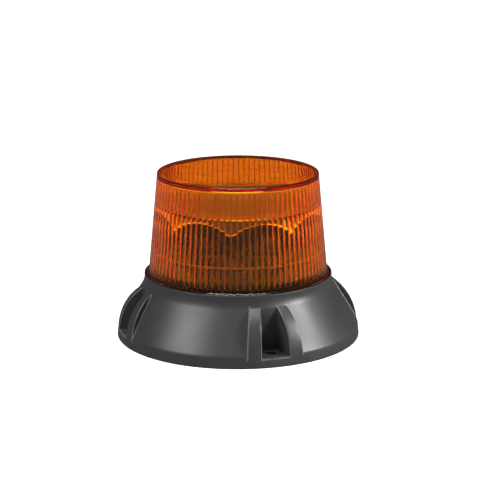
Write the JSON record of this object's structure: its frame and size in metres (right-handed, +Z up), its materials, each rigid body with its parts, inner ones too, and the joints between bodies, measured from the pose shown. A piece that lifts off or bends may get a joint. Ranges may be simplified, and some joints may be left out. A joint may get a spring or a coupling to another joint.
{
  "type": "led warning beacon",
  "caption": "Amber LED warning beacon: tapered fluted lens over a ring of half-bowl reflectors, on a flared black base with bolt-down pockets.",
  "frame": {"origin": "centre of the underside, in the plane that the base stands on", "axes": "+Z up along the beacon's axis; the four bolt pockets lie on +X, -X, +Y and -Y, and a reflector bowl faces every 45 degrees from +X"},
  "size_m": [0.16, 0.16, 0.1088],
  "materials": {
    "black_plastic": "satin",
    "amber_clear": "gloss",
    "metallised": "polished",
    "tower_black": "satin",
    "black_board": "satin",
    "green_board": "satin",
    "led_yellow": "gloss",
    "copper": "satin",
    "component_black": "matte",
    "white_plastic": "satin",
    "grey_plastic": "satin",
    "rubber": "matte",
    "foam_rubber": "matte",
    "screw_steel": "satin"
  },
  "bodies": {
    "base": {"base_housing": "black_plastic", "base_gasket": "foam_rubber", "bottom_plate": "black_plastic", "cable_grommet": "rubber", "vent_plug": "grey_plastic", "driver_board": "green_board", "inductor": "copper", "capacitor": "component_black", "driver_chip": "component_black", "driver_socket": "white_plastic", "terminal_block": "component_black", "light_tower": "tower_black", "led_board": "black_board", "led_plug": "white_plastic", "led_wires": "rubber", "reflector": "metallised", "lens_seal": "rubber", "plate_screw_1": "screw_steel", "plate_screw_2": "screw_steel", "plate_screw_3": "screw_steel", "plate_screw_4": "screw_steel", "driver_screw_1": "screw_steel", "driver_screw_2": "screw_steel", "driver_screw_3": "screw_steel", "driver_screw_4": "screw_steel", "tower_screw_1": "screw_steel", "tower_screw_2": "screw_steel", "tower_screw_3": "screw_steel", "tower_screw_4": "screw_steel", "reflector_screw_1": "screw_steel", "reflector_screw_2": "screw_steel", "reflector_screw_3": "screw_steel", "led_01": "led_yellow", "led_02": "led_yellow", "led_03": "led_yellow", "led_04": "led_yellow", "led_05": "led_yellow", "led_06": "led_yellow", "led_07": "led_yellow", "led_08": "led_yellow", "led_09": "led_yellow", "led_10": "led_yellow", "led_11": "led_yellow", "led_12": "led_yellow", "led_13": "led_yellow", "led_14": "led_yellow", "led_15": "led_yellow", "led_16": "led_yellow", "led_17": "led_yellow", "led_18": "led_yellow", "led_19": "led_yellow", "led_20": "led_yellow", "led_21": "led_yellow", "led_22": "led_yellow", "led_23": "led_yellow", "led_24": "led_yellow"},
    "lens": {"lens": "amber_clear"}
  },
  "joints": [
    {"name": "lens_turn", "type": "hinge", "parent": "base", "child": "lens", "pos_m": [0, 0, 0.042], "axis": [0, 0, 1], "range_deg": [0, 25]}
  ]
}
